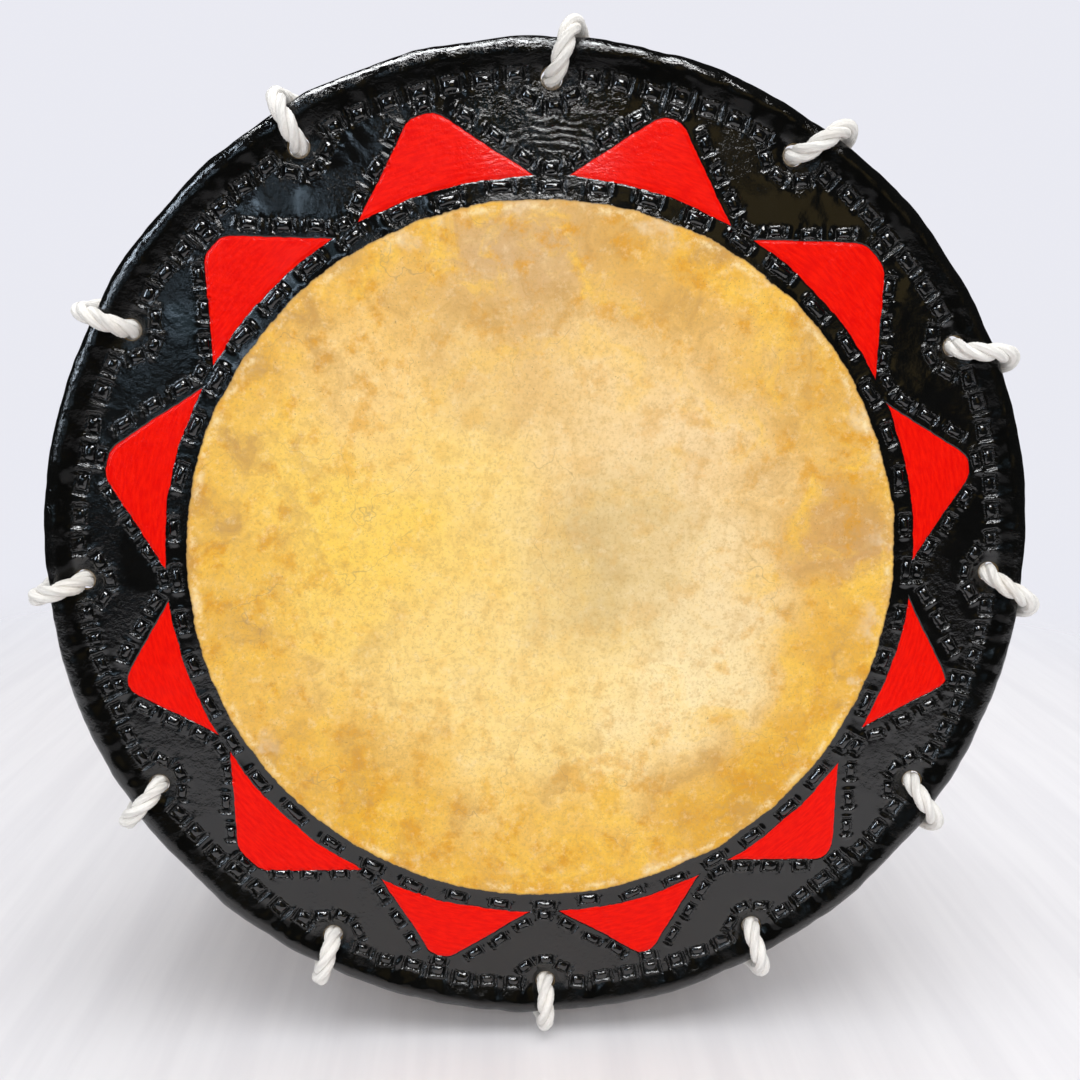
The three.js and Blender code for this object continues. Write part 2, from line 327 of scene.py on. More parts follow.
def skin_colour(n, face, edge, flip):
    """Natural hide: pale in the middle and amber towards the edge, with worn, greyer and darker
    areas, mottling, specks and veins. The edge value grows from nothing to one near the rim, and
    flip is 1, or -1 for a hide with its areas the other way round."""
    wander = n.node("ShaderNodeTexNoise", {"Vector": face, "Scale": 1 / (40 * MM), "Detail": 5.0})
    shift = n.vmath("SUBTRACT", wander.outputs["Color"], (0.5, 0.5, 0.5))
    moved = n.vmath("MULTIPLY_ADD", shift, (85 * MM, 0.0, 85 * MM), face)
    cloud = n.noise(face, 13 * MM, 6, 0.66)
    middle = (-0.06 * HEAD_RADIUS, -HALF_SPAN, -0.04 * HEAD_RADIUS)
    away = n.distance(moved, middle)
    away = n.plus(away, n.times(n.minus(cloud, 0.5), 140 * MM))
    pale, amber = rgb(0.95, 0.69, 0.27), rgb(0.80, 0.43, 0.055)
    colour = n.mix(n.ramp(away, 0.30 * HEAD_RADIUS, 0.74 * HEAD_RADIUS), pale, amber)
    areas = [  # across, up (of the head's radius), reach, colour, strength
        (-0.40, 0.06, 0.46, rgb(0.96, 0.63, 0.10), 0.95),
        (-0.36, 0.40, 0.26, rgb(0.94, 0.64, 0.26), 0.8),
        (-0.05, 0.62, 0.34, rgb(0.64, 0.41, 0.20), 0.95),
        (-0.04, 0.38, 0.26, rgb(0.78, 0.50, 0.20), 0.7),
        (0.26, 0.24, 0.40, rgb(0.90, 0.67, 0.38), 0.85),
        (0.36, -0.06, 0.28, rgb(0.90, 0.71, 0.42), 0.8),
        (0.00, -0.36, 0.36, rgb(0.97, 0.71, 0.27), 0.9),
        (0.30, -0.26, 0.30, rgb(0.98, 0.80, 0.45), 0.95),
        (0.13, 0.02, 0.28, rgb(0.68, 0.50, 0.23), 0.9),
        (0.61, 0.07, 0.19, rgb(0.62, 0.35, 0.13), 0.95),
        (0.52, 0.36, 0.24, rgb(0.74, 0.43, 0.11), 0.7),
        (0.46, -0.48, 0.30, rgb(0.72, 0.36, 0.02), 0.9),
        (-0.38, -0.52, 0.32, rgb(0.80, 0.42, 0.025), 0.9),
        (-0.66, -0.06, 0.22, rgb(0.78, 0.43, 0.06), 0.8),
        (0.05, -0.62, 0.26, rgb(0.81, 0.43, 0.04), 0.8),
    ]
    for across, up, reach, tint, strength in areas:
        spot = (flip * across * HEAD_RADIUS, -HALF_SPAN, flip * up * HEAD_RADIUS)
        away = n.distance(moved, spot)
        colour = n.mix(n.ramp(away, 0.0, reach * HEAD_RADIUS, strength, 0.0), colour, tint)
    rim = n.ramp(edge, 0.35, 0.95, 0.25, 1.0)
    broad = n.noise(moved, 30 * MM, 6, 0.65)
    patches = n.noise(face, 5 * MM, 5, 0.7)
    grain = n.noise(face, 1.3 * MM, 3, 0.7)
    pored = n.ramp(n.noise(face, 60 * MM, 2), 0.42, 0.62, 0.15, 1.0)
    ridge = n.math("ABSOLUTE", n.minus(n.noise(face, 110 * MM, 5, 0.5), 0.5))
    veined = n.ramp(n.noise(moved, 34 * MM, 1), 0.52, 0.60)
    layers = [  # what makes it, from where to where, strength there, where it shows, colour
        (cloud, (0.34, 0.52), (0.95, 0.0), rim, rgb(0.72, 0.33, 0.02)),  # amber clouds
        (cloud, (0.52, 0.78), (0.0, 0.35), rim, rgb(0.93, 0.71, 0.34)),  # pale ones between them
        (broad, (0.30, 0.52), (0.85, 0.0), rim, rgb(0.56, 0.31, 0.085)),
        (broad, (0.50, 0.68), (0.0, 0.8), rim, rgb(0.93, 0.57, 0.08)),
        (patches, (0.34, 0.50), (0.31, 0.0), 1.0, rgb(0.62, 0.36, 0.10)),
        (patches, (0.52, 0.72), (0.0, 0.24), 1.0, rgb(0.98, 0.84, 0.55)),
        (grain, (0.34, 0.51), (0.35, 0.0), 1.0, rgb(0.50, 0.31, 0.11)),
        (n.noise(face, 1.1 * MM, 1), (0.22, 0.31), (0.5, 0.0), pored, rgb(0.28, 0.17, 0.06)),
        (ridge, (0.0002, 0.0016), (0.45, 0.0), veined, rgb(0.42, 0.27, 0.12)),  # fine veins
    ]
    for source, span, strengths, where, tint in layers:
        colour = n.mix(n.times(n.ramp(source, *span, *strengths), where), colour, tint)
    return colour


def hide_material(name, flip):
    """One hide: natural in the middle, black lacquer on the flange with twelve red triangles."""
    n = Nodes(name)
    face = n.vector("face")
    x, y, z = n.split(face)[:3]
    radius = n.vmath("LENGTH", n.join(x, 0.0, z), out="Value")
    turns = n.math("ARCTAN2", z, x)
    wobble = n.minus(n.noise(face, 22 * MM, 4, 0.6), 0.5)
    fine = n.minus(n.noise(face, 3 * MM, 2), 0.5)

    # The triangles: beyond the slanted sides, above the top or below the base is outside.
    slanted, up, hole = n.split(n.vector("patch"))[:3]
    slope = n.times(n.math("MULTIPLY_ADD", wobble, 3 * MM, slanted), math.sqrt(0.5))
    top = n.minus(n.math("MULTIPLY_ADD", wobble, 3 * MM, up), TRIANGLE_TOP)
    rounded = n.math("SMOOTH_MAX", slope, top, 5.5 * MM)
    base = n.minus(n.math("MULTIPLY_ADD", wobble, 3 * MM, TRIANGLE_BASE), radius)
    outside = n.plus(n.most(rounded, base), n.times(fine, 0.7 * MM))
    outer_side = n.ramp(y, 1 * MM - HALF_SPAN, 1.4 * MM - HALF_SPAN, 1.0, 0.0)
    red = n.times(n.ramp(outside, -0.25 * MM, 0.25 * MM, 1.0, 0.0), outer_side)
    brim = n.ramp(outside, 0.0, 0.8 * MM, 1.0, 0.0)
    brim = n.times(n.ramp(outside, -1.6 * MM, -0.2 * MM), brim)

    shore = n.plus(radius, n.times(wobble, 4.5 * MM))
    shore = n.plus(shore, n.times(fine, 1.4 * MM))
    skin = n.ramp(shore, SKIN_EDGE - 0.4 * MM, SKIN_EDGE + 0.3 * MM, 1.0, 0.0)
    dirty = n.ramp(shore, SKIN_EDGE - 1.1 * MM, SKIN_EDGE - 0.1 * MM, 0.0, 0.8)
    flaky = n.ramp(n.noise(face, 9 * MM, 5, 0.75), 0.46, 0.62, 0.0, 0.6)
    fringe = n.times(bell(n, shore, SKIN_EDGE - 3.2 * MM, 1.8 * MM), flaky)
    edge = n.math("DIVIDE", radius, SKIN_EDGE)
    chalky = n.times(n.ramp(edge, 0.90, 0.97), n.ramp(wobble, 0.04, 0.18, 0.0, 0.4))

    brush = n.join(n.times(turns, 42 * MM), 0.0, radius)
    streak = n.noise(brush, 1.5 * MM, 3, 0.6)
    scarlet = n.mix(n.ramp(streak, 0.3, 0.7), rgb(0.76, 0.002, 0.0005), rgb(0.90, 0.008, 0.001))
    black = n.mix(n.noise(face, 9 * MM, 3), rgb(0.0015, 0.0015, 0.0015), rgb(0.004, 0.004, 0.0035))
    raw = n.ramp(hole, HOLE_RADIUS + 0.1 * MM, HOLE_RADIUS + 0.35 * MM, 1.0, 0.0)
    colour = n.mix(red, black, scarlet)
    colour = n.mix(raw, colour, rgb(0.36, 0.26, 0.14))
    natural = n.mix(chalky, skin_colour(n, face, edge, flip), rgb(0.88, 0.76, 0.55))
    natural = n.mix(fringe, natural, rgb(0.96, 0.80, 0.46))
    colour = n.mix(skin, colour, n.mix(dirty, natural, rgb(0.46, 0.27, 0.08)))

    # Round a stitch: slots where the lace dives, with raised lips, and a crease along its sides.
    end, side, around = n.split(n.vector("stitch"))[:3]
    ragged = n.times(n.minus(n.noise(face, 2.2 * MM, 2), 0.5), 1.6 * MM)
    end, around = n.plus(end, ragged), n.plus(around, ragged)
    beside = n.ramp(side, -0.4 * MM, 0.8 * MM, 1.0, 0.0)
    slot = n.times(bell(n, end, 0.2 * MM, 0.5 * MM), beside)
    by_end = n.ramp(side, -0.2 * MM, 1.4 * MM, 1.0, 0.0)
    lip = n.times(bell(n, end, 1.6 * MM, 0.6 * MM), by_end)
    dug = n.most(slot, n.times(bell(n, around, 0.2 * MM, 0.6 * MM), 0.5))
    sewn = n.minus(n.times(lip, 0.6), dug)

    crinkled = n.ramp(n.noise(face, 30 * MM, 3), 0.45, 0.58, 0.0, 1.0)
    near = []
    spots = ((0.0, 0.84, 0.22), (-0.80, 0.34, 0.22), (-0.64, 0.60, 0.16), (-0.72, 0.14, 0.12))
    for across, up, reach in spots:
        spot = (across * HEAD_RADIUS, -HALF_SPAN, up * HEAD_RADIUS)
        away = n.distance(face, spot)
        near.append(n.ramp(away, 0.4 * reach * HEAD_RADIUS, reach * HEAD_RADIUS, 1.0, 0.0))
        crinkled = n.most(crinkled, near[-1])
    near_top = near[0]
    crinkled = n.most(crinkled, 0.13)
    crinkled = n.most(crinkled, n.ramp(around, 0.5 * MM, 4 * MM, 0.7, 0.0))
    pimples = n.noise(face, 2.4 * MM, 4, 0.6)
    wavy = n.math("MULTIPLY_ADD", wobble, 22 * MM, radius)
    long_way = n.join(n.times(turns, 28 * MM), y, wavy)
    wrinkles = n.noise(long_way, 1.9 * MM, 3, 0.6)
    on_ridge = n.ramp(radius, 240 * MM, 244 * MM)
    groove = n.ramp(radius, 241.5 * MM, 244 * MM, 1.0, 0.0)
    groove = n.times(n.ramp(radius, 234 * MM, 237 * MM), groove)
    paint = n.bump(pimples, 0.45 * MM, crinkled)
    paint = n.bump(wrinkles, 0.6 * MM, near_top, paint)
    paint = n.bump(wrinkles, 0.35 * MM, n.times(on_ridge, 0.8), paint)
    paint = n.bump(streak, 0.3 * MM, n.times(red, 0.5), paint)
    paint = n.bump(brim, 0.5 * MM, 0.7, paint)
    paint = n.bump(sewn, 0.9 * MM, 1.0, paint)
    flat = n.bump(n.noise(face, 0.9 * MM, 3, 0.6), 0.12 * MM, 0.35)
    normal = n.node("ShaderNodeMix", data_type="VECTOR")
    n.put(normal.inputs[0], skin)
    n.put(normal.inputs[4], paint)
    n.put(normal.inputs[5], flat)

    gloss = n.ramp(n.noise(face, 12 * MM, 3), 0.35, 0.65, 0.06, 0.13)
    rough = n.mix(red, n.join(gloss, gloss, gloss), (0.20, 0.20, 0.20, 1))
    rough = n.mix(n.most(slot, raw), rough, (0.8, 0.8, 0.8, 1))
    rough = n.mix(skin, rough, (0.56, 0.56, 0.56, 1))
    matt = n.ramp(near_top, 0.2, 1.0, 0.94, 0.6)
    # Less gloss in the lace slots and in the groove inside the ring, so they look dark instead of
    # mirroring the room: painted shade. The raw hole walls, the red paint and the skin are duller
    # for their own finish.
    dull = n.most(n.most(slot, raw), n.times(red, matt))
    dull = n.most(dull, n.times(groove, 0.8))
    dull = n.most(dull, n.times(skin, 0.85))
    shine = n.minus(0.65, n.times(dull, 0.60))
    return n.finish(
        Base_Color=colour, Roughness=n.split(rough)[0], Normal=normal.outputs[1],
        Specular_IOR_Level=shine,
    )


def bell(n, value, middle, width):
    """One at the middle, falling to nothing a width or so to each side."""
    away = n.math("DIVIDE", n.minus(value, middle), width)
    return n.math("EXPONENT", n.times(n.times(away, away), -1.0))


def lace_material():
    n = Nodes("lacquered_lace")
    face = n.vector("face")
    bumps = n.bump(n.noise(face, 2.2 * MM, 2, 0.5), 0.30 * MM, 0.7)
    gloss = n.ramp(n.noise(face, 6 * MM, 3), 0.35, 0.65, 0.06, 0.15)
    return n.finish(
        Base_Color=rgb(0.003, 0.003, 0.003), Roughness=gloss, Normal=bumps, Specular_IOR_Level=0.8,
    )


def rope_material():
    n = Nodes("white_cotton")
    along, around = n.value("along"), n.value("around")
    yarns = n.math("SINE", n.math("MULTIPLY_ADD", around, 7.0, n.times(along, 900.0)))
    place_on = n.join(along, n.times(around, 2 * MM), 0.0)
    fluff = n.noise(place_on, 1.0 * MM, 3, 0.7)
    soil = n.noise(place_on, 30 * MM, 4, 0.65)
    colour = n.mix(n.ramp(soil, 0.45, 0.75, 0.0, 0.5), rgb(0.88, 0.86, 0.82), rgb(0.62, 0.56, 0.47))
    # Darker where the fluff bump is low: painted shade in the hollows between the fibres.
    colour = n.mix(n.ramp(fluff, 0.3, 0.6, 0.22, 0.0), colour, rgb(0.58, 0.54, 0.48))
    normal = n.bump(yarns, 0.22 * MM, 0.45)
    normal = n.bump(fluff, 0.3 * MM, 0.5, normal)
    n.shader.inputs["Sheen Weight"].default_value = 0.25
    return n.finish(Base_Color=colour, Roughness=0.9, Normal=normal)


def wood_material(name, light, dark, groove):
    """Straight-grained wood. The grain runs along the point value 'grain' in its Y."""
    n = Nodes(name)
    grain = n.vector("grain")
    tone = n.value("tone")
    x, y, z = n.split(grain)[:3]
    stretched = n.join(x, n.math("MULTIPLY_ADD", y, 0.05, tone), z)
    rings = n.noise(stretched, 7 * MM, 5, 0.62, 0.8)
    lines = n.noise(stretched, 1.3 * MM, 3, 0.6)
    colour = n.mix(n.ramp(rings, 0.34, 0.66), dark, light)
    colour = n.mix(n.ramp(lines, 0.42, 0.6, 0.55, 0.0), colour, groove)
    shade = n.ramp(n.math("FRACT", n.times(tone, 7.31)), 0.0, 1.0, 0.78, 1.12, False)
    colour = n.mix(1.0, colour, n.join(shade, shade, shade), "MULTIPLY")
    normal = n.bump(lines, 0.2 * MM, 0.35)
    return n.finish(Base_Color=colour, Roughness=n.ramp(lines, 0.3, 0.7, 0.62, 0.42), Normal=normal)


def iron_material():
    n = Nodes("forged_iron")
    scale = n.noise(n.vector("face"), 5 * MM, 5, 0.65)
    colour = n.mix(n.ramp(scale, 0.4, 0.65), rgb(0.10, 0.09, 0.085), rgb(0.22, 0.12, 0.07))
    return n.finish(
        Base_Color=colour, Metallic=0.9, Roughness=n.ramp(scale, 0.3, 0.7, 0.45, 0.75),
        Normal=n.bump(scale, 0.3 * MM, 0.5),
    )


# ---- Stitches: where each one lies on a head, seen from the front ----
def stitch_rows():
    """Rows of stitches, each with its middle's angle and radius, turn, length and width."""
    rim, zigzag, inner = [], [], []
    across = math.pi / 2  # a stitch whose length runs round the drum
    for k in range(HOLES):
        hole = TOP + STEP * k
        middle = hole + STEP / 2
        for i in range(-3, 4):
            rim.append((middle + math.radians(3.5) * i, 232.0, across, 7.8, 5.6))
        rim.append((hole, 219.2, across, 7.4, 5.0))
        for side in (-1, 1):
            turn = across - side * math.radians(34)
            rim.append((hole + side * math.radians(2.55), 223.8, turn, 7.2, 5.0))
        zigzag.append((middle, 226.3, across, 6.4, 4.2))
        zigzag.append((hole, 193.6, across, 6.0, 4.4))
        for side in (-1, 1):
            for t in (0.12, 0.43, 0.75):
                up = 190.5 * (1 - t) + 226.5 * t
                out = 43.6 * (1 - t) + 8.2 * t
                angle = middle + side * math.atan2(out, up)
                turn = middle - angle - side * math.radians(45)
                zigzag.append((angle, math.hypot(up, out), turn, 7.2, 4.4))
        for i in range(4):
            inner.append((hole + STEP / 4 * i, 186.2, across, 9.6, 4.4))
    return {"rim_lace": rim, "zigzag_lace": zigzag, "inner_lace": inner}


def loosened(rows, seed):
    """The stitches as a hand would set them: a little out of place, of line and of size."""
    random = np.random.default_rng(seed)
    loose = {}
    for name, stitches in rows.items():
        loose[name] = []
        for angle, radius, turn, length, width in stitches:
            away = (radius + random.normal() * 0.6) * MM
            slip = random.normal() * 0.45 * MM / away
            spot = polar(angle + slip, away)
            heading = angle + turn + random.normal() * math.radians(5)
            length *= random.uniform(0.85, 1.12) * MM
            width *= random.uniform(0.85, 1.12) * MM
            loose[name].append((spot, heading, length, width))
    return loose


def near_stitches(x, z, rows, reach):
    """Each stitch with the points near it, and their coordinates along and across it."""
    for stitches in rows.values():
        for spot, heading, length, width in stitches:
            near = np.nonzero((abs(x - spot[0]) < reach) & (abs(z - spot[2]) < reach))[0]
            dx, dz = x[near] - spot[0], z[near] - spot[2]
            c, s = math.cos(heading), math.sin(heading)
            yield near, dx * c + dz * s, dz * c - dx * s, length, width


def stitch_relief(x, z, rows):
    """How far the lacquered hide rises round the stitches, and sinks where the lace dives."""
    relief = np.zeros_like(x)
    for near, along, across, length, width in near_stitches(x, z, rows, 12 * MM):
        beside = gauss(across, width * 0.62)
        pit = gauss(abs(along) - length / 2 - 0.2 * MM, 0.7 * MM) * beside
        lip = gauss(abs(along) - length / 2 - 2.5 * MM, 1.4 * MM) * beside
        bed = gauss(along, length * 0.62) * gauss(across, width * 0.85)
        relief[near] += -1.3 * MM * pit + 0.95 * MM * lip - 0.45 * MM * bed
    return relief


def stitch_places(x, z, rows):
    """For each point, how far it lies beyond the end and the side of the nearest stitch."""
    best = np.full_like(x, 10 * MM)
    places = np.full((len(x), 3), 10 * MM)
    for near, along, across, length, width in near_stitches(x, z, rows, 10 * MM):
        end, side = abs(along) - length / 2, abs(across) - width / 2
        away = np.hypot(np.maximum(end, 0), np.maximum(side, 0))
        away += np.minimum(np.maximum(end, side), 0)
        closer = away < best[near]
        chosen = near[closer]
        best[chosen] = away[closer]
        places[chosen] = np.stack([end, side, away], axis=1)[closer]
    return places


def triangle_places(x, z):
    """Place of each point in its sector: along a triangle's slanted sides the first is zero."""
    angle = np.arctan2(z, x) - TOP
    sector = np.floor(angle / STEP) % HOLES
    middle = TOP + (sector + 0.5) * STEP
    slip = math.radians(0.6) * np.cos(middle - math.radians(150))
    inside = (angle + TOP - middle - slip + math.pi) % (2 * math.pi) - math.pi
    half = np.radians(np.array(TRIANGLE_HALF_ANGLES))[sector.astype(int)]
    reach = TRIANGLE_BASE * (np.sin(half) + np.cos(half))
    radius = np.hypot(x, z)
    up = radius * np.cos(inside)
    return abs(radius * np.sin(inside)) + up - reach, up


# ---- Hides ----
def hole_distance(x, z):
    """Distance to the nearest rope hole, and that hole's number."""
    angle = np.arctan2(z, x)
    hole = np.round((angle - TOP) / STEP)
    centre = TOP + hole * STEP
    away = np.hypot(x - HOLE_PLACE * np.cos(centre), z - HOLE_PLACE * np.sin(centre))
    return away, hole


def flange_height(x, z, rows, seed):
    """Relief of the front of the hide, towards the player."""
    flat = np.stack([x, z], axis=1)
    radius = np.hypot(x, z)
    angle = np.arctan2(z, x)
    flange = smooth_step(radius, 176 * MM, 188 * MM)
    height = 0.10 * MM * ripple(flat, 70 * MM, seed)
    height += SKIN_RISE * smooth_step(-radius, -184 * MM, -178 * MM)
    height += flange * 0.40 * MM * ripple(flat, 38 * MM, seed + 1)
    height += flange * 0.07 * MM * ripple(flat, 10 * MM, seed + 2, 30)
    # The hide gathers between the outer stitches and the ring.
    gathers = gauss(radius - 238.5 * MM, 4.5 * MM) * (0.6 + 0.4 * ripple(flat, 25 * MM, seed + 4))
    pleat = (angle - TOP) * 360 / 3.5 + 2 * ripple(flat, 30 * MM, seed + 5)
    height += 0.5 * MM * gathers * np.cos(pleat)
    # The rope pulls the hide in at its holes, and creases it between hole and shell.
    away, hole = hole_distance(x, z)
    height -= 1.6 * MM * gauss(away, 7.5 * MM)
    swing = (angle - TOP - hole * STEP + math.pi) % (2 * math.pi) - math.pi
    sag = HOLE_PLACE - radius - 220 * MM * swing ** 2
    creased = gauss(sag - 24 * MM, 9 * MM) * gauss(swing, 0.13) * (hole % HOLES == 0)
    creased *= 0.6 + 0.4 * ripple(flat, 9 * MM, seed + 10)
    wavy = sag + 2.4 * MM * ripple(flat, 16 * MM, seed + 6)
    height += 0.32 * MM * creased * np.sin(wavy * 2 * math.pi / (3.4 * MM))
    return height + stitch_relief(x, z, rows)


def ridge_rise(radius):
    """How far in front of the flange the hide is as it climbs over the ring."""
    past = radius - RIDGE_FOOT
    return math.tan(RIDGE_SLOPE) * (past + np.sqrt(past ** 2 + (3 * MM) ** 2)) / 2


def hide_profile():
    """Radius, y and outward direction (radial, y) of each ring of the closed section, with how
    many points it has. It runs from the middle of the front, round the fold, along the lap to
    its edge, and back round the inside of the fold to the middle of the inner face."""
    front = -HALF_SPAN
    rings = []
    for radius, count in ((12, 45), (36, 90), (64, 180), (94, 360), (124, 720), (150, 720)):
        rings.append((radius * MM, front, (0, -1), count))
    for radius in np.arange(168, 178, 3.0):
        rings.append((radius * MM, front, (0, -1), RING_POINTS))
    crest = RING_RADIUS - FOLD_RADIUS * math.sin(RIDGE_SLOPE)
    for radius in np.arange(179 * MM, crest - 0.3 * MM, RING_STEP):
        tilt = RIDGE_SLOPE * smooth_step(radius, RIDGE_FOOT - 3 * MM, RIDGE_FOOT + 4 * MM)
        out = (-math.sin(tilt), -math.cos(tilt))
        rings.append((radius, front - ridge_rise(radius), out, RING_POINTS))
    mouth = math.asin(FLANGE / 2 / FOLD_RADIUS)
    start, end = 1.5 * math.pi - RIDGE_SLOPE, 3 * math.pi - mouth
    for t in np.linspace(0, 1, FOLD_RINGS):
        turn = start + (end - start) * t
        out = (math.cos(turn), math.sin(turn))
        count = RING_POINTS if t < 0.66 else RING_POINTS // 2
        radius, y = RING_RADIUS + FOLD_RADIUS * out[0], -RING_Y + FOLD_RADIUS * out[1]
        rings.append((radius, y, out, count))
    return rings


def lap_profile():
    """The rest of the section: the lap, its edge, and the inside of the hide."""
    front = -HALF_SPAN
    rings = []
    count = RING_POINTS // 2
    for radius in np.arange(233, FLAP_INNER / MM + 1, -3.5):
        rings.append((radius * MM, front + FLANGE, (0, 1), count))
    rings.append((FLAP_INNER, front + FLANGE - 0.2 * MM, (-1, 0), count))
    rings.append((FLAP_INNER, front + HIDE + LAP_GAP + 0.2 * MM, (-1, 0), count))
    rings.append((FLAP_INNER + 8 * MM, front + HIDE + LAP_GAP, (0, -1), count // 2))
    inside = FOLD_RADIUS - HIDE
    mouth = math.asin(LAP_GAP / 2 / inside)
    for t in np.linspace(0, 1, 9):
        turn = math.pi - mouth - t * (2 * math.pi - 2 * mouth)
        out = (-math.cos(turn), -math.sin(turn))
        rings.append((RING_RADIUS - inside * out[0], -RING_Y - inside * out[1], out, count // 2))
    for radius, rise, part in ((186, 0, 2), (180, 1, 2), (150, 1, 4), (90, 1, 8), (30, 1, 16)):
        y = front + HIDE - rise * SKIN_RISE
        rings.append((radius * MM, y, (0, 1), max(count // part, 30)))
    return rings


def join_rings(first, second, start_first, start_second):
    """Faces between two rings of points, one of which may have a whole multiple of the other's."""
    if first == second:
        return [
            [start_first + i, start_first + (i + 1) % first,
             start_second + (i + 1) % first, start_second + i]
            for i in range(first)
        ]
    faces = []
    few, many = min(first, second), max(first, second)
    times = many // few
    start_few, start_many = (
        (start_first, start_second) if first < second else (start_second, start_first)
    )
    for i in range(few):
        own = [start_few + i, start_few + (i + 1) % few]
        other = [start_many + (i * times + j) % many for j in range(times + 1)]
        half = times // 2
        for j in range(times):
            tip = own[0] if j < half else own[1]
            faces.append([tip, other[j + 1], other[j]])
        faces.append([own[0], own[1], other[half]])
    if first < second:
        return faces
    return [face[::-1] for face in faces]


def hide_solid(rows, seed):
    """The hide's points, as on the front head, and its faces, pointing out."""
    rings = hide_profile()
    fold_from = len(rings) - FOLD_RINGS
    fold_to = len(rings)
    rings += lap_profile()
    starts, points, faces = [], [], []
    count = 0
    for number, (radius, y, out, size) in enumerate(rings):
        angle = circle(size)
        c, s = np.cos(angle), np.sin(angle)
        away = np.zeros(size)
        if number < fold_to:
            over = smooth_step(radius, 234 * MM, 241 * MM) if number < fold_from else 1.0
            if over < 1:
                away += (1 - over) * flange_height(radius * c, radius * s, rows, seed)
            if over > 0:
                away += over * fold_relief(angle, radius, y, seed)
        reach = radius + out[0] * away
        points.append(np.stack([reach * c, y + out[1] * away, reach * s], axis=1))
        starts.append(count)
        count += size
    for i in range(len(rings) - 1):
        faces += join_rings(rings[i][3], rings[i + 1][3], starts[i], starts[i + 1])
    skin = -HALF_SPAN - SKIN_RISE
    points.append(np.array([[0, skin, 0], [0, skin + HIDE, 0]]))
    first, last = rings[0][3], rings[-1][3]
    faces += [[count, (i + 1) % first, i] for i in range(first)]
    faces += [[count + 1, starts[-1] + i, starts[-1] + (i + 1) % last] for i in range(last)]
    return np.concatenate(points), faces


def fold_relief(angle, radius, y, seed):
    """Lumps of the hide over the ring, and the pinch under each wrap of rope."""
    c, s = np.cos(angle), np.sin(angle)
    spots = np.stack([radius * c, np.full_like(c, y), radius * s], axis=1)
    relief = 0.50 * MM * ripple(spots, 60 * MM, seed + 7)
    relief += 0.42 * MM * ripple(spots, 22 * MM, seed + 8)
    relief += 0.12 * MM * ripple(spots, 7 * MM, seed + 9, 30)
    pleat = (angle - TOP) * 360 / 3.5 + 2 * ripple(spots, 30 * MM, seed + 5)
    relief += 0.3 * MM * gauss(radius - 240 * MM, 4 * MM) * np.cos(pleat)
    swing = (angle - TOP + STEP / 2) % STEP - STEP / 2
    return relief - 0.6 * MM * gauss(swing * HEAD_RADIUS, 9 * MM) - 0.15 * MM


def cut_rope_holes(piece):
    """Cuts the twelve holes through both layers, flared a little at the front."""
    cutter = Solid()
    sides = 40
    turn = circle(sides)
    depths = [-9, -1.4, -0.2, 1.2, 9]
    widths = [1.8, 1.1, 0.3, 0, 0]
    for k in range(HOLES):
        middle = polar(TOP + STEP * k, HOLE_PLACE, -HALF_SPAN)
        rings = []
        for depth, wide in zip(depths, widths):
            r, y = HOLE_RADIUS + wide * MM, np.full(sides, depth * MM)
            rings.append(np.stack([r * np.cos(turn), y, r * np.sin(turn)], axis=1) + middle)
        faces = tube_faces(len(depths), sides)
        cutter.add(np.concatenate(rings), [face[::-1] for face in faces])
    tool = cutter.build("rope_hole_cutter", piece.data.materials[0])
    change = piece.modifiers.new("rope_holes", "BOOLEAN")
    change.operation = "DIFFERENCE"
    change.solver = "MANIFOLD"
    change.object = tool
    bpy.context.view_layer.update()
    evaluated = piece.evaluated_get(bpy.context.evaluated_depsgraph_get())
    cut = bpy.data.meshes.new_from_object(evaluated)
    piece.modifiers.clear()
    piece.data = cut
    bpy.data.objects.remove(tool)


def make_hide(name, side, rows, material, seed):
    points, faces = hide_solid(rows, seed)
    piece = make_object(name, points, faces, material)
    cut_rope_holes(piece)
    mesh = piece.data
    points = np.empty(len(mesh.vertices) * 3)
    mesh.vertices.foreach_get("co", points)
    points = points.reshape(-1, 3)
    x, z = points[:, 0], points[:, 2]
    slanted, up = triangle_places(x, z)
    values = {
        "face": points,
        "patch": np.stack([slanted, up, hole_distance(x, z)[0]], axis=1),
        "stitch": stitch_places(x, z, rows),
    }
    store_values(mesh, values)
    mesh.vertices.foreach_set("co", to_world(head_to_drum(points, side)).ravel())
    mesh.polygons.foreach_set("use_smooth", [True] * len(mesh.polygons))
    mesh.update()
    return piece


def stitch_solid(length, width):
    """One stitch lying along X, raised towards -Y: a domed pad whose ends and sides dive in."""
    rows, columns = 15, 11
    u = np.sin(np.linspace(-1, 1, rows) * math.pi / 2)
    v = np.sin(np.linspace(-1, 1, columns) * math.pi / 2)
    uu, vv = np.meshgrid(u, v, indexing="ij")
    ends = (1 - abs(uu) ** 3.2) ** 0.6
    sides = (1 - abs(vv) ** 3.0) ** 0.6
    x = uu * length / 2 * (1 - 0.14 * vv ** 2)
    z = vv * width / 2 * (1 + 0.10 * uu ** 2)
    rise = -1.6 * MM + 2.6 * MM * ends * sides
    top = np.stack([x.ravel(), -rise.ravel(), z.ravel()], axis=1)
    faces = [face[::-1] for face in grid_faces(rows, columns)]
    rim = list(range(columns))
    rim += [i * columns + columns - 1 for i in range(1, rows)]
    rim += [(rows - 1) * columns + j for j in range(columns - 2, -1, -1)]
    rim += [i * columns for i in range(rows - 2, 0, -1)]
    faces.append(rim)
    return top, faces


def laid(pad, spot, heading):
    """The points of a stitch, turned to its heading and moved to its spot on the face."""
    x, y, z = pad.T
    c, s = math.cos(heading), math.sin(heading)
    return np.stack([x * c - z * s + spot[0], y, x * s + z * c + spot[2]], axis=1)


